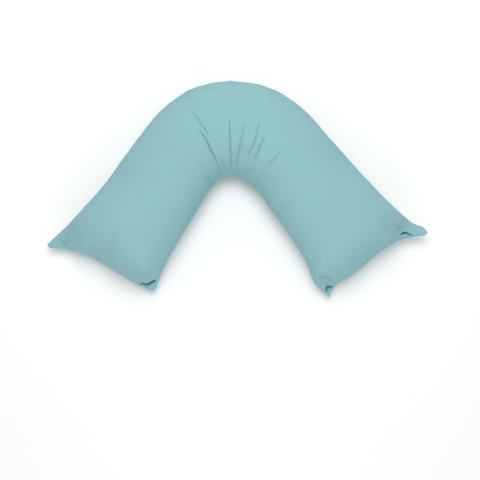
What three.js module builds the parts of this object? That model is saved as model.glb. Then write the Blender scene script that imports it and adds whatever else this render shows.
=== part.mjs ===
// A V-shaped support pillow: a soft filling in a plain cotton case, lying flat on its back.
// Two V-shaped panels are sewn together round their edge. The filling crowns both of them, draws the
// sides in between the four corners, gathers the cloth in folds at the inside of the V, and leaves a
// small flat ear at each corner. The underside is flat where it rests.
//
// Millimetres, +Z up. +X runs across the span and +Y points from the open side of the V to its bend.
// The origin is at the middle of the box round the pillow, on the surface that it lies on.

import * as THREE from "three";

// Driving dimensions
const ARM_CROWN = 172; // height of the fullest part of each arm above the surface
const BEND_CROWN = 158; // height at the bend, where the folds take up some of the filling
const BEND_SPAN = 0.16; // share of the whole length over which the crown drops to the bend
const PRESS = 15; // how far the weight flattens the underside
const PRESS_BLEND = 7; // how softly the flat underside turns up into the sides
const LIP = 4; // width of the sewn edge that stands out round the outline
const LIP_THICK = 2.4; // its thickness, two panels and their seam allowance
const END_ROUND = 150; // how far from an end seam the filling reaches its full height
const EDGE_SHAPE = { power: 2.3, round: 0.56 }; // the section across an arm: 2 and 0.5 make an ellipse
const END_SHAPE = { power: 2.1, round: 0.55 }; // the same along an arm, from its end seam

// Steps of the surface between two sections, and across it
const STEPS_ALONG = 8;
const STEPS_ACROSS = 22;

// The sewn outline as it lies filled, section by section from the left arm's end over the bend to the
// right arm's end. Each edge is a smooth curve through its points, [x, y, height above the surface].
const SECTIONS = [
  { outer: [-571, -166, 38], inner: [-246, -303, 30] },
  { outer: [-545, -143, 44], inner: [-239, -287, 36] },
  { outer: [-516, -118, 52], inner: [-232, -267, 42] },
  { outer: [-467, -67, 66], inner: [-207, -213, 56] },
  { outer: [-393, 15, 74], inner: [-163, -139, 66] },
  { outer: [-309, 131, 78], inner: [-120, -68, 70] },
  { outer: [-223, 238, 78], inner: [-87, -12, 68] },
  { outer: [-126, 303, 76], inner: [-54, 28, 64] },
  { outer: [-14, 323, 74], inner: [-12, 41, 62] },
  { outer: [97, 303, 76], inner: [31, 20, 64] },
  { outer: [194, 242, 78], inner: [65, -11, 68] },
  { outer: [286, 141, 78], inner: [104, -66, 70] },
  { outer: [374, 42, 74], inner: [157, -140, 66] },
  { outer: [470, -56, 68], inner: [205, -216, 56] },
  { outer: [529, -104, 58], inner: [232, -280, 42] },
  { outer: [556, -114, 54], inner: [254, -303, 37] },
  { outer: [572, -131, 50], inner: [278, -325, 32] },
];
const SPANS = SECTIONS.length - 1;

// The two end seams, drawn in by the filling, from the inner corner to the outer corner.
const LEFT_END = [
  [-246, -303],
  [-291, -289],
  [-368, -244],
  [-440, -203],
  [-500, -183],
  [-540, -177],
  [-563, -176],
  [-571, -166],
];
const RIGHT_END = [
  [278, -325],
  [285, -302],
  [304, -283],
  [346, -259],
  [418, -198],
  [466, -165],
  [500, -149],
  [548, -142],
  [566, -139],
  [572, -131],
];

// How far from its tip each corner's ear stays flat, and how much further the filling takes to swell.
const EARS = [
  { along: 0, across: 1, flat: 34, swell: 74 },
  { along: 0, across: 0, flat: 12, swell: 58 },
  { along: 1, across: 0, flat: 16, swell: 62 },
  { along: 1, across: 1, flat: 40, swell: 78 },
];

// The folds that run out from the inside of the bend, from their deep end to their fine end. Depth and
// width are those of the trough, and the cloth stands up a little beside it.
const FOLDS = [
  { from: [-38, 24], to: [-118, 174], depth: 9, width: 13 },
  { from: [-84, 114], to: [-132, 218], depth: 5, width: 11 },
  { from: [-24, 38], to: [-44, 92], depth: 4, width: 9 },
  { from: [-15, 36], to: [-24, 218], depth: 7, width: 11 },
  { from: [4, 50], to: [22, 194], depth: 6, width: 11 },
  { from: [26, 54], to: [70, 194], depth: 6, width: 11 },
  { from: [46, 60], to: [86, 150], depth: 4.5, width: 10 },
  { from: [70, 40], to: [130, 104], depth: 5, width: 11 },
  { from: [-204, 152], to: [-156, 110], depth: 3, width: 10 },
];
const FOLD_RIDGE = { share: 0.4, offset: 1.7 }; // the cloth's rise beside a trough, and where it is
const FOLD_FADE = 26; // the folds fade out over this width towards the seam

// The small gathers that the end seams pull into the panels, from the seam inwards.
const GATHERS = [
  { from: [-466, -190], to: [-450, -152], depth: 4, width: 8 },
  { from: [-414, -214], to: [-404, -164], depth: 5, width: 8 },
  { from: [-330, -262], to: [-320, -226], depth: 4, width: 8 },
  { from: [352, -246], to: [346, -206], depth: 4.5, width: 8 },
  { from: [420, -192], to: [408, -150], depth: 4, width: 8 },
];

// The creases across the roots of the ears, where the cloth turns up into the filled arm.
const EAR_CREASES = [
  { from: [-528, -134], to: [-518, -176], depth: 3.5, width: 10 },
  { from: [-300, -282], to: [-244, -272], depth: 5, width: 9 },
  { from: [256, -288], to: [290, -284], depth: 4, width: 10 },
  { from: [486, -140], to: [540, -130], depth: 4, width: 10 },
];

const NORMAL_STEP = 0.002; // share of the surface over which its slope is taken

const { clamp, lerp, smoothstep } = THREE.MathUtils;
const smooth = (x) => smoothstep(x, 0, 1);

const curve = (points) =>
  new THREE.CatmullRomCurve3(
    points.map(([x, y, z = 0]) => new THREE.Vector3(x, y, z)),
    false,
    "centripetal",
  );

const outerEdge = curve(SECTIONS.map((section) => section.outer));
const innerEdge = curve(SECTIONS.map((section) => section.inner));
const leftEnd = curve(LEFT_END);
const rightEnd = curve(RIGHT_END);

const widthAt = (along) => innerEdge.getPoint(along).distanceTo(outerEdge.getPoint(along));

// How far an end seam bows away from the straight line between its corners.
function bow(end, across) {
  const straight = end.getPoint(0).lerp(end.getPoint(1), across);
  return end.getPointAt(across).sub(straight);
}

// A point of the surface that the seam spans, halfway between the panels. along runs from 0 at the
// left arm's end to 1 at the right arm's, and across from 0 at the inner edge to 1 at the outer.
function middlePoint(along, across) {
  const point = innerEdge.getPoint(along).lerp(outerEdge.getPoint(along), across);
  point.addScaledVector(bow(leftEnd, across), 1 - smooth(along * 2));
  point.addScaledVector(bow(rightEnd, across), 1 - smooth((1 - along) * 2));
  return point;
}

const swell = (share, shape) => Math.pow(1 - Math.pow(1 - share, shape.power), shape.round);

// How far a point lies from the nearest end seam and from the nearest side.
function distances(along, across) {
  const end = middlePoint(Math.round(along), across);
  return {
    toEnd: middlePoint(along, across).distanceTo(end),
    toSide: Math.min(across, 1 - across) * widthAt(along),
  };
}

// How far the filling lifts the cloth off the seam, from 0 at the sewn lip to 1 at the crown.
function fullness(along, across) {
  const { toEnd, toSide } = distances(along, across);
  const endShare = clamp((toEnd - LIP) / END_ROUND, 0, 1);
  const sideShare = clamp((toSide - LIP) / (widthAt(along) / 2 - LIP), 0, 1);
  const ear = EARS.find(
    (corner) => corner.along === Math.round(along) && corner.across === Math.round(across),
  );
  const earShare = smooth((Math.hypot(toEnd, toSide) - ear.flat) / ear.swell);
  return swell(endShare, END_SHAPE) * swell(sideShare, EDGE_SHAPE) * earShare;
}

// Exactly flat where the cloth is pressed on the surface, and rounded where it leaves it.
function pressed(height) {
  if (height >= PRESS_BLEND) return height;
  if (height <= -PRESS_BLEND) return 0;
  return (height + PRESS_BLEND) ** 2 / (4 * PRESS_BLEND);
}

// A point of the upper panel where side is 1, and of the lower panel where it is -1.
function panelPoint(along, across, side) {
  const point = middlePoint(along, across);
  const full = fullness(along, across);
  const lip = LIP_THICK / 2;
  const crown = lerp(BEND_CROWN, ARM_CROWN, smooth(Math.abs(along - 0.5) / BEND_SPAN));
  const upper = lerp(point.z + lip, crown, full);
  const lower = lerp(point.z - lip, -PRESS, full);
  point.z = side > 0 ? upper : pressed(lower);
  return point;
}

function panelNormal(along, across, side) {
  const ahead = panelPoint(Math.min(1, along + NORMAL_STEP), across, side);
  const behind = panelPoint(Math.max(0, along - NORMAL_STEP), across, side);
  const outwards = panelPoint(along, Math.min(1, across + NORMAL_STEP), side);
  const inwards = panelPoint(along, Math.max(0, across - NORMAL_STEP), side);
  const normal = ahead.sub(behind).cross(outwards.sub(inwards)).normalize();
  return normal.z < 0 ? normal.negate() : normal;
}

// How far one fold lowers the cloth at a point seen from above.
function foldDepth(point, { from, to, depth, width }) {
  const run = new THREE.Vector2(...to).sub(new THREE.Vector2(...from));
  const here = new THREE.Vector2(point.x, point.y).sub(new THREE.Vector2(...from));
  const length = run.length();
  const gone = here.dot(run) / length;
  const aside = here.cross(run) / length / width;
  const start = smooth(gone / width + 1);
  const finish = smooth((length - gone) / (length * 0.6));
  const rise = (middle) => FOLD_RIDGE.share * Math.exp(-((aside - middle) ** 2));
  const section =
    Math.exp(-(aside ** 2)) - rise(FOLD_RIDGE.offset) - rise(-FOLD_RIDGE.offset);
  return depth * start * finish * section;
}

// A point of the upper panel with its folds, each of which moves the cloth along its own normal.
function foldedPoint(along, across) {
  const point = panelPoint(along, across, 1);
  const { toEnd, toSide } = distances(along, across);
  const inwards = Math.min(toEnd, toSide);
  const sum = (folds) => folds.reduce((total, fold) => total + foldDepth(point, fold), 0);
  const depth =
    sum(FOLDS) * smooth(inwards / FOLD_FADE) +
    sum([...GATHERS, ...EAR_CREASES]) * smooth((inwards - LIP) / LIP);
  return point.addScaledVector(panelNormal(along, across, 1), -depth);
}

// Places of the grid's lines, from 0 to 1, with a narrow first and last step for the sewn lip.
function places(steps, lip, spread) {
  const inside = [];
  for (let i = 0; i <= steps - 2; i += 1) {
    inside.push(lerp(lip, 1 - lip, spread(i / (steps - 2))));
  }
  return [0, ...inside, 1];
}

const evenly = (share) => share;
const closerAtEdges = (share) => (1 - Math.cos(Math.PI * share)) / 2;

// A square's two triangles. They part along the diagonal that points to the pillow's nearest corner, so
// that the tip of each ear keeps its thickness.
const halves = ([a, b, c, d], fromFirst) =>
  fromFirst ? [a, b, c, a, c, d] : [a, b, d, b, c, d];

// The closed skin: both panels on one grid, sharing the points of the seam.
function pillowGeometry() {
  const firstSpan = middlePoint(0, 0.5).distanceTo(middlePoint(1 / SPANS, 0.5));
  const rows = places(SPANS * STEPS_ALONG, LIP / firstSpan / SPANS, evenly);
  const columns = STEPS_ACROSS + 1;
  const positions = [];
  const upper = [];
  const lower = [];
  const addPoint = (point) => positions.push(point.x, point.y, point.z) / 3 - 1;
  rows.forEach((along, i) => {
    places(STEPS_ACROSS, LIP / widthAt(along), closerAtEdges).forEach((across, j) => {
      const onSeam = i % (rows.length - 1) === 0 || j % (columns - 1) === 0;
      if (onSeam) {
        upper.push(addPoint(middlePoint(along, across)));
        lower.push(upper.at(-1));
      } else {
        upper.push(addPoint(foldedPoint(along, across)));
        lower.push(addPoint(panelPoint(along, across, -1)));
      }
    });
  });
  const triangles = [];
  for (let i = 0; i < rows.length - 1; i += 1) {
    for (let j = 0; j < columns - 1; j += 1) {
      const first = i * columns + j;
      const square = [first, first + 1, first + columns + 1, first + columns];
      const alike = i < (rows.length - 1) / 2 === j < (columns - 1) / 2;
      triangles.push(...halves(square.map((k) => lower[k]), alike));
      triangles.push(...halves(square.map((k) => upper[k]), alike).reverse());
    }
  }
  const geometry = new THREE.BufferGeometry();
  geometry.setAttribute("position", new THREE.Float32BufferAttribute(positions, 3));
  geometry.setIndex(triangles);
  geometry.computeBoundingBox();
  const { min, max } = geometry.boundingBox;
  geometry.translate(-(min.x + max.x) / 2, -(min.y + max.y) / 2, -min.z);
  geometry.computeVertexNormals();
  return geometry;
}

const cotton = new THREE.MeshStandardMaterial({ color: 0x8fc0c5, roughness: 0.9, metalness: 0 });
const pillow = new THREE.Mesh(pillowGeometry(), cotton);
pillow.name = "pillow";

const group = new THREE.Group();
group.add(pillow);

export default group;
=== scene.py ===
"""A V-shaped support pillow: two V-shaped panels of plain teal cotton, sewn together and filled."""

import math
from dataclasses import dataclass

import bpy
import numpy as np
from bpy.props import FloatProperty, FloatVectorProperty, IntProperty, PointerProperty
from bpy.types import Operator, Panel, PropertyGroup
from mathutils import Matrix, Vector


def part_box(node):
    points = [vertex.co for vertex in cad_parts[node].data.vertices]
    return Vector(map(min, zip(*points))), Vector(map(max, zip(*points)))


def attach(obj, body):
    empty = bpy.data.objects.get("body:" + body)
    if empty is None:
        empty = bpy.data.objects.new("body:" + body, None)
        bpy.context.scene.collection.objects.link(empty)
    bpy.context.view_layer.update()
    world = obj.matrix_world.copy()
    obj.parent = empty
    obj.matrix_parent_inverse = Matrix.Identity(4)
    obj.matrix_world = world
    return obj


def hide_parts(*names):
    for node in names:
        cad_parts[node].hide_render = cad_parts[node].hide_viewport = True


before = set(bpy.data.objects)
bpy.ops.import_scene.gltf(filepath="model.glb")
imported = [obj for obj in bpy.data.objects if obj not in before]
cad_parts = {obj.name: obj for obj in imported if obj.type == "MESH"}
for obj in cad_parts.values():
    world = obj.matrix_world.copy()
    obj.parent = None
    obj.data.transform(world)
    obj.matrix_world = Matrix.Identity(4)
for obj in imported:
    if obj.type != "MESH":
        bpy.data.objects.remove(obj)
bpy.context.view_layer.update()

bl_info = {
    "name": "V Shaped Pillow",
    "version": (1, 0, 0),
    "blender": (4, 5, 0),
    "location": "3D View > Sidebar > Pillow",
    "description": "Sews and fills a V-shaped support pillow and lays it on a plain stage",
    "category": "Add Mesh",
}

PILLOW_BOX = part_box("pillow")
MM = 0.001

# The sewn outline as it lies filled, in mm, section by section from the left arm's end over the bend to
# the right arm's end: [x, y, height] of the outer edge, then of the inner edge.
SECTIONS = MM * np.array([
    [[-571, -166, 38], [-244, -300, 30]],
    [[-545, -143, 44], [-239, -286, 36]],
    [[-516, -118, 52], [-232, -267, 42]],
    [[-467, -67, 66], [-207, -213, 56]],
    [[-393, 15, 74], [-163, -139, 66]],
    [[-309, 131, 78], [-120, -68, 70]],
    [[-223, 238, 78], [-87, -12, 68]],
    [[-126, 303, 76], [-54, 28, 64]],
    [[-14, 323, 74], [-12, 41, 62]],
    [[97, 303, 76], [31, 20, 64]],
    [[194, 242, 78], [65, -11, 68]],
    [[286, 141, 78], [104, -66, 70]],
    [[374, 42, 74], [157, -140, 66]],
    [[470, -56, 68], [205, -216, 56]],
    [[529, -104, 58], [232, -280, 42]],
    [[556, -114, 54], [254, -303, 37]],
    [[572, -131, 50], [278, -325, 32]],
], float)

# The two end seams, drawn in by the filling, from the inner corner to the outer corner.
LEFT_END = MM * np.array([
    [-244, -300], [-255, -303], [-269, -300], [-291, -290], [-368, -244], [-440, -203], [-500, -183],
    [-540, -177], [-563, -176], [-571, -166],
], float)
RIGHT_END = MM * np.array([
    [278, -325], [285, -302], [304, -283], [346, -259], [418, -198], [466, -165], [500, -149],
    [548, -142], [566, -139], [572, -131],
], float)

# Each corner's ear, in mm: how far from its tip it stays flat, how much further the filling takes to
# swell, and how far from the end seam beside it the filling reaches its full height. along is 0 at the
# left arm's end and 1 at the right one's, and across is 0 on the inner side and 1 on the outer.
EARS = [
    {"along": 0, "across": 1, "flat": 34, "swell": 74, "end_round": 190},
    {"along": 0, "across": 0, "flat": 20, "swell": 44, "end_round": 86},
    {"along": 1, "across": 0, "flat": 20, "swell": 52, "end_round": 100},
    {"along": 1, "across": 1, "flat": 40, "swell": 78, "end_round": 170},
]

# Where the crown of the filling lies across the pillow, from 0 at the inner edge to 1 at the outer.
CROWN_LINE = {"along": [0, 0.3, 0.5, 0.7, 1], "across": [0.45, 0.48, 0.5, 0.56, 0.57]}
BEND_SPAN = 0.16  # the share of the run, to each side of its middle, where the crown is lower

# How the filling rises from a seam: the power sets how soon, and the rounding how steeply it starts.
END_SWELL = {"power": 2.1, "rounding": 0.55}
SIDE_SWELL = {"power": 2.3, "rounding": 0.56}

# The soft folds that fan out from the inside of the bend, each a line from its deep end, with its depth
# and the half width of its trough, all in mm. lean makes one side of the trough steeper, and fade is
# the share of the line over which each end dies away.
FOLDS = [
    {"line": [(-40, 26), (-52, 60), (-63, 80), (-88, 128), (-102, 149), (-117, 171)],
     "depth": 4.5, "width": 9.0, "lean": 0.5, "fade": (0.0, 0.5)},
    {"line": [(-74, 126), (-85, 147), (-102, 175), (-129, 212)],
     "depth": 2.0, "width": 8.0, "lean": 0.4, "fade": (0.2, 0.5)},
    {"line": [(-24, 40), (-34, 58), (-46, 82)], "depth": 2.5, "width": 7.0, "lean": 0.2,
     "fade": (0.0, 0.6)},
    {"line": [(-15, 40), (-16, 66), (-19, 105), (-21, 145), (-23, 190), (-24, 214)],
     "depth": 2.6, "width": 8.0, "lean": -0.2, "fade": (0.0, 0.5)},
    {"line": [(-3, 40), (1, 70), (8, 104), (15, 138), (20, 180)],
     "depth": 2.8, "width": 9.0, "lean": 0.2, "fade": (0.0, 0.5)},
    {"line": [(12, 36), (32, 76), (46, 112), (58, 148), (70, 189)],
     "depth": 3.0, "width": 9.0, "lean": 0.2, "fade": (0.0, 0.5)},
    {"line": [(26, 34), (50, 76), (66, 108), (84, 143)],
     "depth": 2.2, "width": 7.0, "lean": 0.1, "fade": (0.0, 0.5)},
    {"line": [(46, 16), (70, 42), (100, 68), (127, 98)],
     "depth": 2.8, "width": 9.0, "lean": 0.1, "fade": (0.0, 0.5)},
    {"line": [(-62, 4), (-84, 34), (-100, 62)], "depth": 2.0, "width": 10.0, "lean": 0.1,
     "fade": (0.0, 0.6)},
]

# The sharp creases along the bottoms of those folds, and the short ones beside them.
CREASES = [
    {"line": [(-42, 40), (-52, 60), (-63, 80), (-77, 103), (-88, 128), (-102, 149), (-119, 174)],
     "depth": 5.4, "width": 2.3, "lean": 0.35, "fade": (0.45, 0.25)},
    {"line": [(-79, 136), (-85, 147), (-102, 175), (-134, 220)],
     "depth": 3.8, "width": 2.0, "lean": 0.3, "fade": (0.25, 0.2)},
    {"line": [(-27, 44), (-37, 60), (-49, 83)], "depth": 2.4, "width": 2.0, "lean": 0.0,
     "fade": (0.1, 0.4)},
    {"line": [(-16, 44), (-16, 66), (-19, 105), (-21, 145), (-21, 173), (-25, 222)],
     "depth": 3.0, "width": 2.1, "lean": 0.2, "fade": (0.1, 0.25)},
    {"line": [(-4, 45), (-1, 66), (6, 99), (12, 126), (19, 162), (20, 197)],
     "depth": 2.9, "width": 2.2, "lean": -0.2, "fade": (0.2, 0.25)},
    {"line": [(30, 72), (36, 95), (44, 108), (56, 138), (62, 167), (72, 198)],
     "depth": 3.2, "width": 2.1, "lean": -0.2, "fade": (0.25, 0.25)},
    {"line": [(46, 66), (64, 102), (73, 123), (87, 151)],
     "depth": 3.9, "width": 2.1, "lean": -0.3, "fade": (0.25, 0.2)},
    {"line": [(85, 52), (101, 67), (115, 80), (130, 103)],
     "depth": 3.4, "width": 2.1, "lean": -0.3, "fade": (0.4, 0.25)},
    {"line": [(-198, 143), (-177, 128), (-160, 112)], "depth": 1.9, "width": 2.6, "lean": 0.0,
     "fade": (0.4, 0.4)},
    {"line": [(-190, 104), (-166, 97)], "depth": 1.2, "width": 2.6, "lean": 0.0, "fade": (0.5, 0.5)},
]

# The creases at the roots of the ears, where the filled body overhangs the flat cloth, and the short
# ones along the end seams. A fold that gapes is a slot with steep sides, and the bottom of its slot gets
# painted shade.
EAR_CREASES = [
    {"line": [(-527, -144), (-526, -157), (-517, -172)],
     "depth": 5.2, "width": 2.4, "lean": 0.3, "fade": (0.3, 0.1)},
    {"line": [(-295, -290), (-284, -285), (-269, -287.5), (-256, -281), (-242, -275)],
     "depth": 10.0, "width": 2.4, "lean": 0.0, "fade": (0.2, 0.1), "gapes": True},
    {"line": [(240, -278), (250, -269), (265, -268), (278, -275), (285, -283)],
     "depth": 4.4, "width": 2.6, "lean": -0.3, "fade": (0.2, 0.2)},
    {"line": [(270, -296), (279, -294), (288, -294)],
     "depth": 9.0, "width": 2.9, "lean": 0.0, "fade": (0.0, 0.15), "gapes": True},
    {"line": [(271, -295), (269, -302), (268, -310)],
     "depth": 10.0, "width": 2.7, "lean": 0.0, "fade": (0.0, 0.25), "gapes": True},
    {"line": [(241, -291), (254, -302), (269, -318)],
     "depth": 2.6, "width": 1.5, "lean": 0.0, "fade": (0.15, 0.15)},
    {"line": [(490, -139), (499, -134), (508, -133), (518, -137), (532, -143)],
     "depth": 10.0, "width": 2.5, "lean": 0.0, "fade": (0.15, 0.3), "gapes": True},
    {"line": [(-411, -186), (-412, -198), (-417, -213)],
     "depth": 3.2, "width": 2.6, "lean": 0.3, "fade": (0.7, 0.0)},
    {"line": [(-489, -173), (-490, -185)], "depth": 2.4, "width": 2.6, "lean": 0.2, "fade": (0.6, 0.0)},
    {"line": [(-456, -184), (-461, -195)], "depth": 1.8, "width": 3.6, "lean": 0.0, "fade": (0.7, 0.0)},
    {"line": [(-343, -240), (-348, -247), (-355, -254)], "depth": 2.0, "width": 3.4, "lean": -0.2,
     "fade": (0.7, 0.0)},
    {"line": [(-320, -262), (-327, -269)], "depth": 1.4, "width": 4.0, "lean": 0.0, "fade": (0.7, 0.0)},
    {"line": [(344, -226), (346, -233), (350, -242)], "depth": 3.0, "width": 2.6, "lean": 0.2,
     "fade": (0.6, 0.1)},
    {"line": [(374, -217), (381, -226)], "depth": 1.6, "width": 3.8, "lean": 0.0, "fade": (0.7, 0.0)},
    {"line": [(456, -163), (457, -173)], "depth": 1.8, "width": 3.2, "lean": 0.2, "fade": (0.7, 0.0)},
]

# Where the seam of the outline puckers, and how strongly, as (share of the seam's run, strength).
PUCKERS = {
    "outer": {"seed": 5, "strength": [(0, 0.8), (0.08, 0.6), (0.3, 0.6), (0.4, 0.8), (0.5, 1.0),
                                      (0.6, 0.8), (0.7, 0.6), (0.92, 0.6), (1, 0.9)]},
    "inner": {"seed": 23, "strength": [(0, 0.6), (0.1, 0.5), (0.4, 0.4), (0.5, 0.5), (0.6, 0.4),
                                       (0.9, 0.5), (1, 0.6)]},
    "left end": {"seed": 37, "strength": [(0, 0.8), (0.5, 0.9), (1, 0.9)]},
    "right end": {"seed": 41, "strength": [(0, 0.8), (0.5, 0.9), (1, 0.9)]},
}

# The cross section of a fold: how sharp its trough is and how rounded at the bottom, and the cloth's rise
# beside it as a share of the depth. Places and widths are in half widths of the trough.
TROUGH = {"sharpness": 1.6, "rounding": 0.22, "reach": 5}
SHOULDER = {"soft_rise": 0.34, "gaping_rise": 0.1, "place": 2.0, "width": 0.9}

# The folds, the creases and the gathers have their full height from these distances inwards, and die
# away between there and the nearest seam.
SOFT_FOLD_FADE = 14 * MM
CREASE_FADE = 10 * MM
EAR_CREASE_FADE = 4 * MM
GATHER_FADE = 6 * MM

# The places where the edge of the bend stands out a little, in mm.
NUBS = [
    {"at": (-148, 296), "out": 3.0, "width": 6},
    {"at": (-18, 324), "out": 2.8, "width": 5},
    {"at": (-84, 314), "out": 1.2, "width": 8},
    {"at": (122, 295), "out": 1.6, "width": 7},
]

# The bottom of a gaping fold is painted a darker teal as painted shade; a gap this deep gets all of it.
PAINTED_GAP_SHADE_DEPTH = 9 * MM  # a gap of this depth has the full colour of its bottom

# Points beside a sharp crease are drawn towards it, by a share of their distance within this reach.
SLIDE = {"reach": 7 * MM, "share": 0.6, "end_share": 1 / 6, "least_upward": 0.3}

# A crease goes at most this share of the way through to the other panel, measured where it is deeper
# than tested_from, by a ray that starts just under the cloth.
THROUGH = {"share": 0.65, "tested_from": 1.5 * MM, "start": 0.2 * MM}

GATHER_REACH = 1.1  # how far a gather runs into the panel, as a share of its spacing
MOST_GATHER_SHARE = 0.2  # the highest gather, as a share of the filling's height under it
LEAST_GATHER = 0.3 * MM  # the highest gather where the cloth is flat
OUT_WAVE_SHARE = 0.7  # spacing of the seam's waves in the plan, as a share of those in its height
NOISE_KNOTS = 600
POINTS_PER_STEP = 12  # straight pieces in a fold's line, for each of its points
PATTERN_SPACING = 1.5  # from one flat panel to the other in the pattern, as a share of the span

# Spare cloth along the seams, inside the bend and everywhere, as shares of the slack. seam_reach is in
# metres, bend_span is a share of the run, and the bend's part ends 1 / bend_depth of the way out.
SLACK = {"seam": 0.4, "seam_reach": 0.018, "bend": 0.9, "bend_span": 0.085, "bend_depth": 1.15,
         "everywhere": 0.1}

ROWS = 217
COLUMNS = 55
COLUMN_CROWDING = 0.6  # 0 spaces the columns evenly, and 1 draws them closest to the seams

# Where the lights hang, as from_above takes them in degrees and metres, and the width of their disks.
KEY_LIGHT = {"elevation": 70, "turn": 0, "distance": 3.0, "size": 2.0}
FILL_LIGHT = {"elevation": 15, "turn": 180, "distance": 3.0, "size": 1.5}
LIT_PLACE = (0, 0, 0.1)
FLOOR_HALF = 8.0


def smooth(x):
    x = np.clip(x, 0, 1)
    return x * x * (3 - 2 * x)


def spline(points, share):
    """The smooth curve through points, with share from 0 to 1 in equal steps from point to point."""
    points = np.asarray(points, float)
    place = np.clip(np.asarray(share, float), 0, 1) * (len(points) - 1)
    span = np.minimum(place.astype(int), len(points) - 2)
    w = (place - span)[..., None]
    padded = np.vstack([2 * points[0] - points[1], points, 2 * points[-1] - points[-2]])
    p0, p1, p2, p3 = (padded[span + k] for k in range(4))
    d0, d1, d2 = (
        np.sqrt(np.linalg.norm(b - a, axis=-1, keepdims=True)) for a, b in ((p0, p1), (p1, p2), (p2, p3))
    )
    start = ((p1 - p0) / d0 - (p2 - p0) / (d0 + d1) + (p2 - p1) / d1) * d1
    finish = ((p2 - p1) / d1 - (p3 - p1) / (d1 + d2) + (p3 - p2) / d2) * d1
    square = -3 * p1 + 3 * p2 - 2 * start - finish
    cube = 2 * p1 - 2 * p2 + start + finish
    return p1 + start * w + square * w**2 + cube * w**3


def run_along(line):
    """The distance run to each point of a line."""
    return np.r_[0, np.cumsum(np.linalg.norm(np.diff(line, axis=0), axis=1))]


FINE = np.linspace(0, 1, 1201)


def even_spline(points, share):
    """The same curve, with share in equal steps of its length."""
    run = run_along(spline(points, FINE))
    return spline(points, np.interp(np.asarray(share) * run[-1], run, FINE))


def plan_point(along, across):
    """A point halfway between the panels, where along runs from the left arm's end to the right one's
    and across from the inner edge to the outer."""
    inner = spline(SECTIONS[:, 1], along)
    outer = spline(SECTIONS[:, 0], along)
    point = inner + (outer - inner) * across[..., None]
    for end, near in ((LEFT_END, 1 - smooth(along * 2)), (RIGHT_END, 1 - smooth((1 - along) * 2))):
        straight = end[0] + (end[-1] - end[0]) * across[..., None]
        point[..., :2] += (even_spline(end, across) - straight) * near[..., None]
    return point


@dataclass
class Spots:
    """Places on the panels: where they are in the plan, and how far they lie from the seams."""

    along: np.ndarray
    across: np.ndarray
    middle: np.ndarray
    outwards: np.ndarray
    width: np.ndarray
    to_seam: dict
    run: dict
    length: dict

    @property
    def to_end(self):
        return np.minimum(self.to_seam["left end"], self.to_seam["right end"])

    @property
    def to_side(self):
        return np.minimum(self.to_seam["inner"], self.to_seam["outer"])

    @property
    def to_nearest(self):
        return np.minimum(self.to_end, self.to_side)


def find_spots(along, across):
    middle = plan_point(along, across)
    step = spline(SECTIONS[:, 0], along) - spline(SECTIONS[:, 1], along)
    width = np.linalg.norm(step, axis=-1)
    flat = step * [1, 1, 0]
    left, right = (plan_point(np.full_like(along, end), across) for end in (0.0, 1.0))
    runs = {name: run_along(spline(SECTIONS[:, side], FINE)) for name, side in (("outer", 0), ("inner", 1))}
    ends = {name: run_along(spline(end, FINE))[-1]
            for name, end in (("left end", LEFT_END), ("right end", RIGHT_END))}
    return Spots(
        along=along,
        across=across,
        middle=middle,
        outwards=flat / np.linalg.norm(flat, axis=-1, keepdims=True),
        width=width,
        to_seam={
            "outer": (1 - across) * width,
            "inner": across * width,
            "left end": np.linalg.norm(middle - left, axis=-1),
            "right end": np.linalg.norm(middle - right, axis=-1),
        },
        run={
            **{name: np.interp(along, FINE, run) for name, run in runs.items()},
            **{name: across * length for name, length in ends.items()},
        },
        length={**{name: run[-1] for name, run in runs.items()}, **ends},
    )


def lay_out_grid(welt, crowding):
    """Rows along the pillow and columns across it. The first and last of each are a welt apart from the
    next, rows lie closer at the bend and the ends, and columns lie closer near the seams."""
    centre = run_along(plan_point(FINE, np.full_like(FINE, 0.5)))
    length = centre[-1]
    density = (1 + crowding.bend * np.exp(-(((centre - length / 2) / crowding.bend_reach) ** 2))
               + crowding.ends * np.exp(-np.minimum(centre, length - centre) / crowding.end_reach))
    reached = np.r_[0, np.cumsum(np.diff(centre) * (density[1:] + density[:-1]) / 2)]
    inside = np.interp(np.linspace(0, reached[-1], ROWS - 2), reached, centre)
    inside = welt + inside * (length - 2 * welt) / length
    rows = np.interp(np.r_[0, inside, length], centre, FINE)
    width = np.linalg.norm(spline(SECTIONS[:, 0], rows) - spline(SECTIONS[:, 1], rows), axis=1)
    even = np.linspace(0, 1, COLUMNS - 2)
    closer = (1 - COLUMN_CROWDING) * even + COLUMN_CROWDING * (1 - np.cos(np.pi * even)) / 2
    welts = (welt / width)[:, None]
    across = np.hstack([np.zeros((ROWS, 1)), welts + closer * (1 - 2 * welts), np.ones((ROWS, 1))])
    return find_spots(np.repeat(rows[:, None], COLUMNS, 1), across)


def noise_along(run, wavelength, seed):
    """Smooth noise between -1 and 1 along a seam, the same on each run of the script."""
    knots = np.random.default_rng(seed).uniform(-1, 1, NOISE_KNOTS)
    place = run / wavelength
    knot = np.floor(place).astype(int)
    w = smooth(place - knot)
    return knots[knot] * (1 - w) + knots[knot + 1] * w


def pucker_height(spots, wavelength, depth, side_seed):
    """Small gathers that run into the panels at right angles to the seams, and die away inwards."""
    height = 0
    for name, pucker in PUCKERS.items():
        share, strength = np.transpose(pucker["strength"])
        run, inwards = spots.run[name], spots.to_seam[name]
        amount = depth * np.interp(run / spots.length[name], share, strength)
        seed = [pucker["seed"], side_seed, round(wavelength / MM)]
        dying = np.exp(-inwards / (GATHER_REACH * wavelength))
        height = height + amount * noise_along(run, wavelength, seed) * dying
    return height * smooth(spots.to_nearest / GATHER_FADE)


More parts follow.
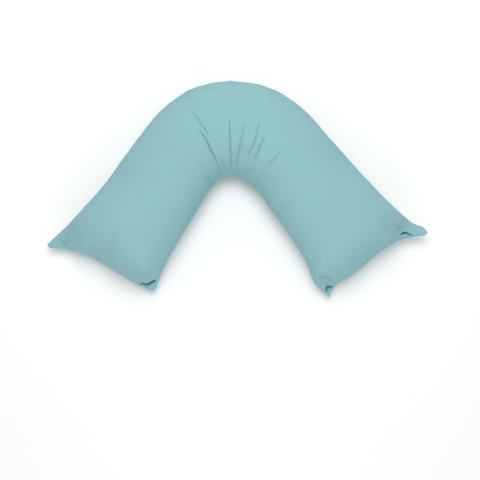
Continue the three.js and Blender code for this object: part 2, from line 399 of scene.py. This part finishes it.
def wave_seam(spots, wave):
    """The sewn edge isn't quite even: it rises and falls, and stands out a little in places."""
    rise, out = 0, 0
    for number, (name, pucker) in enumerate(PUCKERS.items()):
        share, strength = np.transpose(pucker["strength"])
        run, near = spots.run[name], np.exp(-((spots.to_seam[name] / wave.reach) ** 2))
        amount = np.interp(run / spots.length[name], share, strength) * near
        rise = rise + amount * wave.rise * noise_along(run, wave.length, [pucker["seed"], 1, number])
        if name in ("outer", "inner"):
            spacing = OUT_WAVE_SHARE * wave.length
            out = out + amount * wave.out * noise_along(run, spacing, [pucker["seed"], 2, number])
    for nub in NUBS:
        distance = np.linalg.norm(spots.middle[..., :2] - MM * np.array(nub["at"]), axis=-1)
        out = out + nub["out"] * MM * np.exp(-((distance / (nub["width"] * MM)) ** 2))
    spots.middle += spots.outwards * np.asarray(out)[..., None]
    spots.middle[..., 2] += rise


def swell(share, power, rounding):
    return (1 - (1 - share) ** power) ** rounding


def fullness(spots, sizes):
    """How far the filling lifts the cloth off the seam, from 0 at the welt to 1 at the crown."""
    crown = np.interp(spots.along, CROWN_LINE["along"], CROWN_LINE["across"])
    inner_share = (spots.to_seam["inner"] - sizes.welt) / (crown * spots.width - sizes.welt)
    outer_share = (spots.to_seam["outer"] - sizes.welt) / ((1 - crown) * spots.width - sizes.welt)
    side_share = np.clip(np.minimum(inner_share, outer_share), 0, 1)
    at = {(ear["along"], ear["across"]): ear for ear in EARS}
    end_round = np.zeros_like(spots.along)
    ear_share = np.zeros_like(spots.along)
    for along in (0, 1):
        there = np.round(spots.along) == along
        reach = [at[along, side]["end_round"] * MM for side in (0, 1)]
        end_round[there] = (reach[0] + (reach[1] - reach[0]) * smooth(spots.across))[there]
        for across in (0, 1):
            ear = at[along, across]
            near = there & (np.round(spots.across) == across)
            beyond = np.hypot(spots.to_end, spots.to_side) - ear["flat"] * MM
            ear_share[near] = smooth(beyond / (ear["swell"] * MM))[near]
    end_share = np.clip((spots.to_end - sizes.welt) / end_round, 0, 1)
    return swell(end_share, **END_SWELL) * swell(side_share, **SIDE_SWELL) * ear_share


def fill_panels(spots, full, sizes):
    """The two panels over the filling, before they are folded or pressed."""
    arm = smooth(np.abs(spots.along - 0.5) / BEND_SPAN)
    crown = PILLOW_BOX[1][2] - sizes.bend_drop * (1 - arm)
    height = spots.middle[..., 2]
    upper, lower = spots.middle.copy(), spots.middle.copy()
    half_welt = sizes.welt_thickness / 2
    upper[..., 2] += half_welt + (crown - height - half_welt) * full
    lower[..., 2] -= half_welt + (sizes.press + height - half_welt) * full
    return upper, lower


def along_line(points, line):
    """How far each point lies to the side of a line, how far along it, as a share of its length, and the
    step from the point to the line."""
    fine = spline(line, np.linspace(0, 1, POINTS_PER_STEP * len(line)))
    run = run_along(fine)
    nearest = np.full(points.shape[:-1], np.inf)
    aside, gone = np.zeros_like(nearest), np.zeros_like(nearest)
    towards = np.zeros_like(points)
    for a, b, start in zip(fine[:-1], fine[1:], run):
        step = b - a
        length = np.linalg.norm(step)
        offset = points - a
        share = np.clip(offset @ step / length**2, 0, 1)
        back = share[..., None] * step - offset
        distance = np.linalg.norm(back, axis=-1)
        side = np.sign(offset[..., 0] * step[1] - offset[..., 1] * step[0])
        better = distance < nearest
        nearest = np.where(better, distance, nearest)
        aside = np.where(better, distance * side, aside)
        gone = np.where(better, (start + share * length) / run[-1], gone)
        towards = np.where(better[..., None], back, towards)
    return aside, gone, towards


def fold_depth(points, fold):
    """How far a fold lowers the cloth: a sharp trough, or a slot with steep sides where the cloth gapes,
    between two broad shoulders."""
    aside, gone, _ = along_line(points, MM * np.array(fold["line"], float))
    u = aside / (fold["width"] * MM)
    u = np.where(u > 0, u / (1 + fold["lean"]), u / (1 - fold["lean"]))
    if fold.get("gapes"):
        trough, rise = np.exp(-(u**4)), SHOULDER["gaping_rise"]
    else:
        edge = TROUGH["rounding"]
        trough = np.exp(-TROUGH["sharpness"] * (np.sqrt(u * u + edge * edge) - edge))
        rise = SHOULDER["soft_rise"]
    shoulders = rise * np.exp(-(((np.abs(u) - SHOULDER["place"]) / SHOULDER["width"]) ** 2))
    start, finish = (np.ones_like(gone) if share == 0 else smooth(run / share)
                     for run, share in zip((gone, 1 - gone), fold["fade"]))
    return fold["depth"] * MM * start * finish * (trough - shoulders)


def near_line(points, line, reach):
    """Which points lie in the box of a line, widened by reach."""
    return np.all((points > line.min(0) - reach) & (points < line.max(0) + reach), axis=1)


def fold_sum(points, folds):
    """How far all the folds together lower the cloth at each point."""
    depth = np.zeros(len(points))
    for fold in folds:
        near = near_line(points, MM * np.array(fold["line"], float), TROUGH["reach"] * fold["width"] * MM)
        depth[near] += fold_depth(points[near], fold)
    return depth


def slides(points, normals, folds):
    """Moves along the surface that draw its points together round the folds, so that they show sharply."""
    moves = np.zeros_like(points)
    reach = SLIDE["reach"]
    for fold in folds:
        line = MM * np.array(fold["line"], float)
        near = near_line(points[:, :2], line, 3 * reach)
        aside, gone, towards = along_line(points[near, :2], line)
        inside = smooth(gone / SLIDE["end_share"]) * smooth((1 - gone) / SLIDE["end_share"])
        amount = SLIDE["share"] * np.exp(-((aside / reach) ** 2)) * inside
        moves[near, :2] += towards * amount[:, None]
    up = np.maximum(normals[:, 2], SLIDE["least_upward"])
    moves[:, 2] = -(moves[:, :2] * normals[:, :2]).sum(1) / up
    return moves


def flat_pattern(surface, spots):
    """Where each point of a panel lies in the flat cloth that it was cut from, in metres."""
    step = np.linalg.norm(np.diff(surface, axis=1), axis=2)
    run = np.hstack([np.zeros((ROWS, 1)), np.cumsum(step, axis=1)])
    middle = COLUMNS // 2
    run -= run[:, middle:middle + 1]
    return spots.middle[:, middle:middle + 1, :2] + spots.outwards[..., :2] * run[..., None]


def sew_mesh(name, spots, full, upper, lower):
    """One closed mesh of both panels, which share the points of the seam."""
    seam = np.zeros(spots.along.shape, bool)
    seam[[0, -1]] = seam[:, [0, -1]] = True
    count = seam.size
    grid = np.arange(count).reshape(seam.shape)
    below = grid.copy()
    below[~seam] = count + np.arange((~seam).sum())
    upper[seam] = spots.middle[seam]
    lower[seam] = spots.middle[seam]
    points = np.vstack([upper.reshape(-1, 3), lower[~seam]])

    def squares(index):
        return np.stack([index[:-1, :-1], index[:-1, 1:], index[1:, 1:], index[1:, :-1]], -1).reshape(-1, 4)

    faces = np.vstack([squares(grid)[:, ::-1], squares(below)])
    mesh = bpy.data.meshes.new(name)
    mesh.from_pydata(points.tolist(), [], faces.tolist())
    mesh.polygons.foreach_set("use_smooth", np.ones(len(faces), bool))

    def both(values):
        return np.r_[values.ravel(), values[~seam]].astype(float)

    panel = np.r_[np.where(seam, 0.5, 1.0).ravel(), np.zeros((~seam).sum())]
    welt = np.zeros(seam.shape)
    welt[[0, 1, -2, -1]] = welt[:, [0, 1, -2, -1]] = 1
    layers = {"along": both(spots.along), "across": both(spots.across), "fullness": both(full),
              "upper": panel, "welt": both(welt)}
    for layer, values in layers.items():
        mesh.attributes.new(layer, "FLOAT", "POINT").data.foreach_set("value", values)

    cut = [flat_pattern(panel_surface, spots).reshape(-1, 2) for panel_surface in (upper, lower)]
    corners = squares(grid)
    beside = [PATTERN_SPACING * (PILLOW_BOX[1][0] - PILLOW_BOX[0][0]), 0]
    flat = np.vstack([cut[0][corners[:, ::-1]].reshape(-1, 2), cut[1][corners].reshape(-1, 2) + beside])
    mesh.uv_layers.new(name="flat_cloth").data.foreach_set("uv", flat.ravel())

    ends = np.empty(len(mesh.edges) * 2, int)
    mesh.edges.foreach_get("vertices", ends)
    sewn = (panel[ends.reshape(-1, 2)] == 0.5).all(1).astype(float)
    mesh.attributes.new("crease_edge", "FLOAT", "EDGE").data.foreach_set("value", sewn)

    mesh.update()
    piece = bpy.data.objects.new(name, mesh)
    bpy.context.collection.objects.link(piece)
    return piece


def read_layer(mesh, name):
    values = np.empty(len(mesh.vertices))
    mesh.attributes[name].data.foreach_get("value", values)
    return values


def read_points(mesh):
    points = np.empty(len(mesh.vertices) * 3)
    mesh.vertices.foreach_get("co", points)
    return points.reshape(-1, 3)


def read_normals(mesh):
    normals = np.empty(len(mesh.vertices) * 3)
    mesh.vertices.foreach_get("normal", normals)
    return normals.reshape(-1, 3)


def write_points(mesh, points):
    mesh.vertices.foreach_set("co", points.ravel())
    mesh.update()


def weight_group(piece, name, weights):
    group = piece.vertex_groups.new(name=name)
    for index in np.nonzero(weights > 0)[0]:
        group.add([int(index)], float(weights[index]), "REPLACE")


def spots_of(mesh):
    return find_spots(read_layer(mesh, "along"), read_layer(mesh, "across"))


def gather_height(mesh, spots, side, wavelength, share):
    """The gathers of one spacing on both panels, held well inside the thickness of the flat ears."""
    most = MOST_GATHER_SHARE * PILLOW_BOX[1][2] * read_layer(mesh, "fullness") + LEAST_GATHER
    height = np.zeros(len(side))
    for panel, chosen in ((1, side > 0.5), (2, side < 0.5)):
        height += np.where(chosen, pucker_height(spots, wavelength, share * wavelength, panel), 0)
    return most * np.tanh(height / most)


def soft_folds(piece, gathers):
    """Lays the soft folds and the broad gathers into the filled case. The lower panel has the folds of
    the bend the other way round."""
    mesh = piece.data
    spots, side = spots_of(mesh), read_layer(mesh, "upper")
    points, normals = read_points(mesh), read_normals(mesh)
    depth = np.where(
        side > 0.5,
        fold_sum(points[:, :2], FOLDS),
        fold_sum(points[:, :2] * [-1, 1], FOLDS),
    ) * smooth(spots.to_nearest / SOFT_FOLD_FADE)
    for wavelength in (gathers.broad, gathers.broad / 2):
        depth -= gather_height(mesh, spots, side, wavelength, gathers.share)
    write_points(mesh, points - normals * depth[:, None])


def within_thickness(piece, points, normals, depth):
    """The depths of the creases, where they stay well short of the other panel."""
    kept = depth.copy()
    for index in np.nonzero(depth > THROUGH["tested_from"])[0]:
        inwards = Vector(-normals[index])
        start = Vector(points[index]) + inwards * THROUGH["start"]
        hit, place, _, _ = piece.ray_cast(start, inwards)
        if hit:
            kept[index] = min(depth[index], THROUGH["share"] * (place - start).length)
    return kept


def sharp_creases(piece, gathers):
    """Presses the sharp creases and the finest gathers into the finished surface."""
    mesh = piece.data
    spots, side = spots_of(mesh), read_layer(mesh, "upper")
    on_top = (side > 0.5) * smooth(spots.to_nearest / GATHER_FADE)
    moves = slides(read_points(mesh), read_normals(mesh), CREASES + EAR_CREASES)
    write_points(mesh, read_points(mesh) + moves * on_top[:, None])
    points, normals = read_points(mesh), read_normals(mesh)
    depth = 0
    for folds, fade in ((CREASES, CREASE_FADE), (EAR_CREASES, EAR_CREASE_FADE)):
        pressed = fold_sum(points[:, :2], folds) * smooth(spots.to_nearest / fade)
        depth = depth + np.where(side > 0.5, pressed, 0)
    # Painted shade: the crease attribute darkens the colour at the bottom of each gaping fold, as far as the
    # fold is deep.
    gaps = [fold for fold in EAR_CREASES if fold.get("gapes")]
    painted_gap_shade = np.where(side > 0.5, np.clip(fold_sum(points[:, :2], gaps) / PAINTED_GAP_SHADE_DEPTH, 0, 1), 0)
    mesh.attributes.new("crease", "FLOAT", "POINT").data.foreach_set("value", painted_gap_shade)
    depth = within_thickness(piece, points, normals, depth)
    depth -= gather_height(mesh, spots, side, gathers.fine, gathers.fine_share)
    write_points(mesh, points - normals * depth[:, None])


def settle_cloth(piece, cloth):
    """Simulates the case over its filling, held at the welt, and keeps the result."""
    mesh = piece.data
    spots = spots_of(mesh)
    weight_group(piece, "welt", read_layer(mesh, "welt"))
    bend = np.exp(-(((spots.along - 0.5) / SLACK["bend_span"]) ** 2))
    bend = bend * smooth(1 - spots.across * SLACK["bend_depth"])
    seams = np.exp(-spots.to_nearest / SLACK["seam_reach"])
    slack = SLACK["seam"] * seams + SLACK["bend"] * bend + SLACK["everywhere"]
    weight_group(piece, "slack", np.clip(slack, 0, 1))

    modifier = piece.modifiers.new("Cloth", "CLOTH")
    settings = modifier.settings
    settings.quality = 6
    settings.mass = 0.1
    settings.tension_stiffness = cloth.stiffness
    settings.compression_stiffness = cloth.stiffness
    settings.shear_stiffness = cloth.stiffness / 2
    settings.bending_stiffness = cloth.bending
    settings.tension_damping = settings.compression_damping = 12
    settings.shear_damping = 8
    settings.bending_damping = 2
    settings.air_damping = 1
    settings.use_pressure = True
    settings.uniform_pressure_force = cloth.pressure
    settings.vertex_group_mass = "welt"
    settings.vertex_group_shrink = "slack"
    settings.shrink_min = 0
    settings.shrink_max = -cloth.slack
    settings.effector_weights.gravity = 0
    modifier.collision_settings.use_collision = False
    modifier.collision_settings.use_self_collision = False
    modifier.point_cache.frame_start = 1
    modifier.point_cache.frame_end = cloth.frames
    scene = bpy.context.scene
    for step in range(1, cloth.frames + 1):
        scene.frame_set(step)
    before = read_points(mesh)
    evaluated = piece.evaluated_get(bpy.context.evaluated_depsgraph_get())
    move = read_points(evaluated.data) - before
    piece.modifiers.remove(modifier)
    scene.frame_set(1)
    length = np.linalg.norm(move, axis=1, keepdims=True) + 1e-12
    move *= np.minimum(length, cloth.most_move) / length
    write_points(mesh, before + move)


def rest_on_surface(piece, blend):
    """Presses the underside flat on the surface, with a soft turn up into the sides."""
    points = read_points(piece.data)
    height = points[:, 2]
    turned = (np.clip(height, -blend, blend) + blend) ** 2 / (4 * blend)
    points[:, 2] = np.where(height >= blend, height, turned)
    write_points(piece.data, points)


def subdivide_once(piece):
    modifier = piece.modifiers.new("Subdivision", "SUBSURF")
    modifier.levels = modifier.render_levels = 1
    evaluated = piece.evaluated_get(bpy.context.evaluated_depsgraph_get())
    finer = bpy.data.meshes.new_from_object(evaluated)
    piece.modifiers.remove(modifier)
    rough, piece.data = piece.data, finer
    name = rough.name
    bpy.data.meshes.remove(rough)
    finer.name = name
    finer.attributes.remove(finer.attributes["crease_edge"])


class Weave:
    """Adds the nodes of a material, and links them."""

    def __init__(self, material):
        material.use_nodes = True
        self.tree = material.node_tree
        self.shader = self.tree.nodes["Principled BSDF"]
        self.column = 0

    def node(self, kind, **settings):
        node = self.tree.nodes.new(kind)
        self.column += 1
        node.location = (-1600 + 160 * (self.column % 9), 500 - 260 * (self.column // 9))
        for name, value in settings.items():
            setattr(node, name, value)
        return node

    def put(self, socket, value):
        if isinstance(value, bpy.types.NodeSocket):
            self.tree.links.new(value, socket)
        else:
            socket.default_value = value

    def maths(self, operation, a, b=0.0):
        node = self.node("ShaderNodeMath", operation=operation)
        self.put(node.inputs[0], a)
        self.put(node.inputs[1], b)
        return node.outputs[0]

    def noise(self, vector, scale, detail=2.0, roughness=0.5):
        node = self.node("ShaderNodeTexNoise")
        self.put(node.inputs["Vector"], vector)
        node.inputs["Scale"].default_value = scale
        node.inputs["Detail"].default_value = detail
        node.inputs["Roughness"].default_value = roughness
        return node.outputs["Fac"]

    def stretched(self, vector, scale):
        node = self.node("ShaderNodeMapping", vector_type="POINT")
        self.put(node.inputs["Vector"], vector)
        node.inputs["Scale"].default_value = scale
        return node.outputs["Vector"]

    def between(self, value, low, high):
        node = self.node("ShaderNodeMapRange")
        self.put(node.inputs["Value"], value)
        node.inputs["To Min"].default_value = low
        node.inputs["To Max"].default_value = high
        return node.outputs["Result"]

    def bump(self, height, distance, normal=None):
        node = self.node("ShaderNodeBump")
        node.inputs["Strength"].default_value = 1.0
        node.inputs["Distance"].default_value = distance
        self.put(node.inputs["Height"], height)
        if normal is not None:
            self.put(node.inputs["Normal"], normal)
        return node.outputs["Normal"]


# The thicker threads, as noise stretched along the warp and the weft of the flat cloth.
WARP_SLUBS = (900, 14, 1)
WEFT_SLUBS = (16, 800, 1)
THREAD_WAVER = 4.0  # how far a thread strays, in radians, where the spacing of the threads is pi
# What makes the teal uneven, and how far it goes to each side of the cotton's own colour. The patches and
# the slubs are the cotton's own; threads is painted light, lighter on the threads than in the gaps between
# them.
UNEVENNESS = {"patches": 0.42, "slubs": 0.15, "threads": 0.35}
SHADE_SPAN = 0.12


def cotton_material(look):
    """Plain-woven teal cotton: crossing threads, a few thicker ones, and a soft, slightly uneven face. Its
    colour is painted lighter on the threads than between them, and painted shade darkens the bottom of the
    gaps.
    """
    material = bpy.data.materials.new("plain_cotton")
    weave = Weave(material)
    shader = weave.shader
    flat = weave.node("ShaderNodeUVMap", uv_map="flat_cloth").outputs["UV"]
    body = weave.node("ShaderNodeTexCoord").outputs["Object"]

    warp_slubs, weft_slubs = (
        weave.noise(weave.stretched(flat, stretch), scale=1.0, detail=3.0, roughness=0.6)
        for stretch in (WARP_SLUBS, WEFT_SLUBS)
    )
    slubs = weave.maths("ADD", warp_slubs, weft_slubs)

    across = weave.node("ShaderNodeSeparateXYZ")
    weave.put(across.inputs[0], flat)
    waver = weave.maths("MULTIPLY", weave.noise(flat, scale=90.0), THREAD_WAVER)
    turns = math.pi / look.thread
    u = weave.maths("ADD", weave.maths("MULTIPLY", across.outputs["X"], turns), waver)
    v = weave.maths("ADD", weave.maths("MULTIPLY", across.outputs["Y"], turns), waver)
    over_and_under = weave.maths("MULTIPLY", weave.maths("SINE", u), weave.maths("SINE", v))
    threads = weave.maths("ADD", over_and_under, slubs)

    crumple = weave.noise(body, scale=34.0, detail=3.0)
    soft = weave.bump(crumple, look.crumple)
    weave.put(shader.inputs["Normal"], weave.bump(threads, look.thread_relief, soft))

    patchy = weave.maths("MULTIPLY", weave.noise(body, scale=5.0), UNEVENNESS["patches"])
    patchy = weave.maths("ADD", patchy, weave.maths("MULTIPLY", slubs, UNEVENNESS["slubs"]))
    # Painted light: the threads are painted lighter than the gaps between them.
    painted_thread_light = weave.maths("MULTIPLY", weave.maths("ABSOLUTE", over_and_under), UNEVENNESS["threads"])
    shade = weave.node("ShaderNodeMix", data_type="RGBA")
    weave.put(shade.inputs["Factor"], weave.maths("ADD", patchy, painted_thread_light))
    for socket, strength in (("A", 1 - SHADE_SPAN), ("B", 1 + SHADE_SPAN)):
        shade.inputs[socket].default_value = (*[channel * strength for channel in look.colour], 1)
    # Painted shade: where the crease attribute is set, the colour goes over to the darker gap colour.
    colour_with_painted_gap_shade = weave.node("ShaderNodeMix", data_type="RGBA")
    gap = weave.node("ShaderNodeAttribute", attribute_name="crease").outputs["Fac"]
    weave.put(colour_with_painted_gap_shade.inputs["Factor"], gap)
    weave.put(colour_with_painted_gap_shade.inputs["A"], shade.outputs["Result"])
    colour_with_painted_gap_shade.inputs["B"].default_value = (*look.gap, 1)
    weave.put(shader.inputs["Base Color"], colour_with_painted_gap_shade.outputs["Result"])
    weave.put(shader.inputs["Roughness"], weave.between(slubs, 0.78, 0.92))
    shader.inputs["Specular IOR Level"].default_value = 0.25
    shader.inputs["Sheen Weight"].default_value = look.sheen
    shader.inputs["Sheen Roughness"].default_value = 0.45
    shader.inputs["Sheen Tint"].default_value = (0.86, 0.93, 1.0, 1)
    return material


class PillowSizes(PropertyGroup):
    """Sizes of the filled case."""

    bend_drop: FloatProperty(
        name="Bend drop", description="How much lower the crown is at the bend than on the arms",
        default=0.014, min=0, unit="LENGTH")
    press: FloatProperty(
        name="Press", description="How far the pillow's weight flattens its underside",
        default=0.015, min=0, unit="LENGTH")
    press_blend: FloatProperty(
        name="Press blend", description="How softly the flat underside turns up into the sides",
        default=0.007, min=0.001, unit="LENGTH")
    welt: FloatProperty(
        name="Welt", description="Width of the sewn edge that stands out round the outline",
        default=0.004, min=0.001, unit="LENGTH")
    welt_thickness: FloatProperty(
        name="Welt thickness", description="Thickness of the sewn edge", default=0.0024, unit="LENGTH")


class GridCrowding(PropertyGroup):
    """Where the rows of the mesh lie closer together."""

    bend: FloatProperty(name="At the bend", description="How much closer rows lie there", default=1.2)
    bend_reach: FloatProperty(
        name="Reach of the bend", description="How far from the bend's middle", default=0.12, unit="LENGTH")
    ends: FloatProperty(name="At the ends", description="How much closer rows lie there", default=1.0)
    end_reach: FloatProperty(
        name="Reach of the ends", description="How far from an end seam", default=0.04, unit="LENGTH")


class SeamWave(PropertyGroup):
    """How unevenly the sewn edge lies."""

    length: FloatProperty(name="Length", description="Length of a wave", default=0.034, unit="LENGTH")
    rise: FloatProperty(name="Rise", description="How far it rises and falls", default=0.0016, unit="LENGTH")
    out: FloatProperty(name="Out", description="How far it stands out", default=0.0010, unit="LENGTH")
    reach: FloatProperty(name="Reach", description="How far inwards it goes", default=0.012, unit="LENGTH")


class Gathers(PropertyGroup):
    """The gathers that the seams pull into the panels."""

    broad: FloatProperty(
        name="Broadest", description="Spacing of the broadest gathers", default=0.044, unit="LENGTH")
    share: FloatProperty(
        name="Height share", description="Height of a gather as a share of its spacing", default=0.14)
    fine: FloatProperty(
        name="Finest", description="Spacing of the finest gathers", default=0.011, unit="LENGTH")
    fine_share: FloatProperty(
        name="Fine share", description="Height of a fine gather as a share of its spacing", default=0.2)


class ClothSettings(PropertyGroup):
    """How the case settles over its filling."""

    frames: IntProperty(name="Steps", description="Steps of the simulation", default=22, min=1)
    pressure: FloatProperty(name="Pressure", description="Push of the filling", default=25)
    stiffness: FloatProperty(name="Stiffness", description="Stretch resistance of the cotton", default=15)
    bending: FloatProperty(name="Bending", description="Fold resistance of the cotton", default=2)
    slack: FloatProperty(
        name="Slack", description="Share of spare cloth where it is gathered most", default=0.1)
    most_move: FloatProperty(
        name="Most move", description="The furthest that a point may move", default=0.016, unit="LENGTH")


class CottonLook(PropertyGroup):
    """Finish of the cotton, and the painted shade at the bottom of its gaps."""

    colour: FloatVectorProperty(
        name="Colour", description="Colour of the cotton", subtype="COLOR", size=3,
        default=(0.242, 0.449, 0.477), min=0, max=1)
    thread: FloatProperty(
        name="Thread", description="Spacing of the threads", default=0.0007, unit="LENGTH")
    thread_relief: FloatProperty(
        name="Thread relief", description="Height of the threads", default=0.00006, unit="LENGTH")
    # The gap colour is painted shade: the darker teal put into the colour at the bottom of a gap.
    gap: FloatVectorProperty(
        name="Gap", description="Colour at the bottom of a gap, where only the cloth's own glow reaches",
        subtype="COLOR", size=3, default=(0.045, 0.18, 0.195), min=0, max=1)
    crumple: FloatProperty(
        name="Crumple", description="Height of the soft crumple", default=0.0008, unit="LENGTH")
    sheen: FloatProperty(name="Sheen", description="Softness of the cotton's face", default=0.06)


class StageLook(PropertyGroup):
    """The plain stage, its light and its camera."""

    floor: FloatVectorProperty(
        name="Floor", description="Colour of the floor", subtype="COLOR", size=3,
        default=(0.9, 0.9, 0.9), min=0, max=1)
    sky: FloatProperty(name="Even light", description="Strength of the light all round", default=0.66)
    key: FloatProperty(name="Key light", description="Power of the light above", default=51, unit="POWER")
    fill: FloatProperty(
        name="Fill light", description="Power of the low light before the arms", default=18, unit="POWER")
    picture_width: FloatProperty(
        name="Picture width", description="Width that the picture takes in", default=1.44, unit="LENGTH")
    picture_middle: FloatVectorProperty(
        name="Picture middle", description="The place in the middle of the picture", subtype="TRANSLATION",
        size=3, default=(0.009, -0.1525, 0.05))
    camera_distance: FloatProperty(
        name="Camera distance", description="How far away the camera is", default=3.2, unit="LENGTH")
    camera_height: FloatProperty(
        name="Camera height", description="Height of the camera over the surface, in degrees", default=86)


class MESH_OT_sew_pillow(Operator):
    """Sews the two panels, fills them and settles the cloth"""

    bl_idname = "mesh.sew_v_pillow"
    bl_label = "Sew the pillow"

    def execute(self, context):
        scene = context.scene
        sizes = scene.pillow_sizes
        spots = lay_out_grid(sizes.welt, scene.pillow_grid)
        outline = spots.middle[..., :2].reshape(-1, 2)
        centre = (outline.min(0) + outline.max(0)) / 2
        wave_seam(spots, scene.pillow_seam)
        full = fullness(spots, sizes)
        upper, lower = fill_panels(spots, full, sizes)
        piece = sew_mesh("filled_case", spots, full, upper, lower)
        soft_folds(piece, scene.pillow_gathers)
        settle_cloth(piece, scene.pillow_cloth)
        subdivide_once(piece)
        sharp_creases(piece, scene.pillow_gathers)
        rest_on_surface(piece, sizes.press_blend)
        write_points(piece.data, read_points(piece.data) - [*centre, 0])
        piece.data.materials.append(cotton_material(scene.pillow_cotton))
        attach(piece, "root")
        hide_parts("pillow")
        return {"FINISHED"}


def aim(thing, target):
    thing.rotation_euler = (Vector(target) - thing.location).to_track_quat("-Z", "Y").to_euler()


def plain_material(name, colour):
    material = bpy.data.materials.new(name)
    material.use_nodes = True
    shader = material.node_tree.nodes["Principled BSDF"]
    shader.inputs["Base Color"].default_value = (*colour, 1)
    shader.inputs["Roughness"].default_value = 0.9
    shader.inputs["Specular IOR Level"].default_value = 0.1
    return material


def lay_floor(look):
    mesh = bpy.data.meshes.new("floor")
    half = FLOOR_HALF
    corners = [(-half, -half, 0), (half, -half, 0), (half, half, 0), (-half, half, 0)]
    mesh.from_pydata(corners, [], [(0, 1, 2, 3)])
    mesh.materials.append(plain_material("floor", look.floor))
    floor = bpy.data.objects.new("floor", mesh)
    bpy.context.collection.objects.link(floor)


def hang_light(name, stand, power):
    light = bpy.data.lights.new(name, "AREA")
    light.shape = "DISK"
    light.size = stand["size"]
    light.energy = power
    lamp = bpy.data.objects.new(name, light)
    bpy.context.collection.objects.link(lamp)
    lamp.location = from_above(stand["elevation"], stand["turn"], stand["distance"])
    aim(lamp, LIT_PLACE)


def from_above(elevation, turn, distance):
    """A place over the pillow, turned from the bend's side towards the left arm, in degrees."""
    high, round_it = math.radians(elevation), math.radians(turn)
    level = distance * math.cos(high)
    return (-level * math.sin(round_it), level * math.cos(round_it), distance * math.sin(high))


def place_camera(look):
    """Nearly straight above, so that the pillow lies in the upper half of the picture."""
    camera = bpy.data.cameras.new("camera")
    holder = bpy.data.objects.new("camera", camera)
    bpy.context.collection.objects.link(holder)
    camera.sensor_width = 36
    camera.lens = camera.sensor_width * look.camera_distance / look.picture_width
    middle = Vector(look.picture_middle)
    holder.location = middle + Vector(from_above(look.camera_height, 180, look.camera_distance))
    aim(holder, middle)
    bpy.context.scene.camera = holder


class SCENE_OT_lay_stage(Operator):
    """Lays the floor, hangs the lights and places the camera"""

    bl_idname = "scene.lay_pillow_stage"
    bl_label = "Lay the stage"

    def execute(self, context):
        look = context.scene.pillow_stage
        lay_floor(look)
        hang_light("key_light", KEY_LIGHT, look.key)
        hang_light("fill_light", FILL_LIGHT, look.fill)
        world = bpy.data.worlds.new("even_light")
        context.scene.world = world
        world.use_nodes = True
        world.node_tree.nodes["Background"].inputs["Color"].default_value = (1, 1, 1, 1)
        world.node_tree.nodes["Background"].inputs["Strength"].default_value = look.sky
        context.scene.view_settings.view_transform = "Standard"
        place_camera(look)
        return {"FINISHED"}


class VIEW3D_PT_pillow(Panel):
    """Lists the steps that make the pillow"""

    bl_label = "V Shaped Pillow"
    bl_space_type = "VIEW_3D"
    bl_region_type = "UI"
    bl_category = "Pillow"

    def draw(self, context):
        layout = self.layout
        layout.operator(MESH_OT_sew_pillow.bl_idname)
        layout.operator(SCENE_OT_lay_stage.bl_idname)
        for group in GROUPS:
            settings = getattr(context.scene, group)
            for name in settings.bl_rna.properties.keys():
                if name not in ("rna_type", "name"):
                    layout.prop(settings, name)


GROUPS = {
    "pillow_sizes": PillowSizes,
    "pillow_grid": GridCrowding,
    "pillow_seam": SeamWave,
    "pillow_gathers": Gathers,
    "pillow_cloth": ClothSettings,
    "pillow_cotton": CottonLook,
    "pillow_stage": StageLook,
}
CLASSES = (*GROUPS.values(), MESH_OT_sew_pillow, SCENE_OT_lay_stage, VIEW3D_PT_pillow)


def register():
    for cls in CLASSES:
        bpy.utils.register_class(cls)
    for name, cls in GROUPS.items():
        setattr(bpy.types.Scene, name, PointerProperty(type=cls))


def unregister():
    for name in GROUPS:
        delattr(bpy.types.Scene, name)
    for cls in reversed(CLASSES):
        bpy.utils.unregister_class(cls)


def main():
    register()
    bpy.ops.mesh.sew_v_pillow()
    bpy.ops.scene.lay_pillow_stage()


if __name__ == "__main__":
    main()
